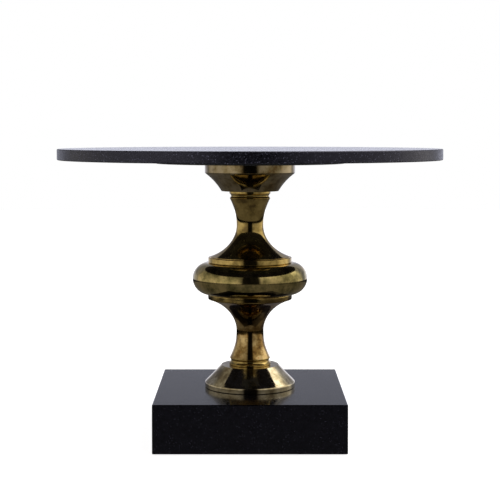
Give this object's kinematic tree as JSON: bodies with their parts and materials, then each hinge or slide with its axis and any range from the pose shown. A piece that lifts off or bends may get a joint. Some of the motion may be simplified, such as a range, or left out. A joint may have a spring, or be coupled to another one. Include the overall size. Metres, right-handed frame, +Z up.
{
  "type": "round pedestal table",
  "caption": "Low round table with a polished dark granite top on a turned, aged-brass baluster column that stands on a square granite plinth.",
  "frame": {"origin": "on the floor, under the middle of the table", "axes": "+Z up along the column's axis; X and Y along the sides of the square plinth"},
  "size_m": [0.6, 0.6, 0.45],
  "materials": {
    "granite": "polished, near black with fine pale and violet specks",
    "aged_brass": "polished brass with an uneven dark patina",
    "black_steel": "satin black powder coat",
    "zinc_steel": "bright zinc plate",
    "insert_brass": "plain machined brass",
    "rubber": "matt black"
  },
  "bodies": {
    "root": {"table_top": "granite", "base_plinth": "granite", "base_flange": "aged_brass", "lower_collar": "aged_brass", "lower_spindle": "aged_brass", "lower_band": "aged_brass", "bulb_lower_half": "aged_brass", "bulb_upper_half": "aged_brass", "upper_band": "aged_brass", "upper_spindle": "aged_brass", "upper_collar": "aged_brass", "top_flange": "aged_brass", "support_plate": "black_steel", "rod_hub": "black_steel", "tie_rod": "zinc_steel", "rod_washer": "zinc_steel", "spring_washer": "zinc_steel", "rod_nut": "zinc_steel", "plate_screw_1": "zinc_steel", "plate_screw_2": "zinc_steel", "plate_screw_3": "zinc_steel", "plate_screw_4": "zinc_steel", "screw_insert_1": "insert_brass", "screw_insert_2": "insert_brass", "screw_insert_3": "insert_brass", "screw_insert_4": "insert_brass", "foot_pad_1": "rubber", "foot_pad_2": "rubber", "foot_pad_3": "rubber", "foot_pad_4": "rubber"}
  },
  "joints": []
}
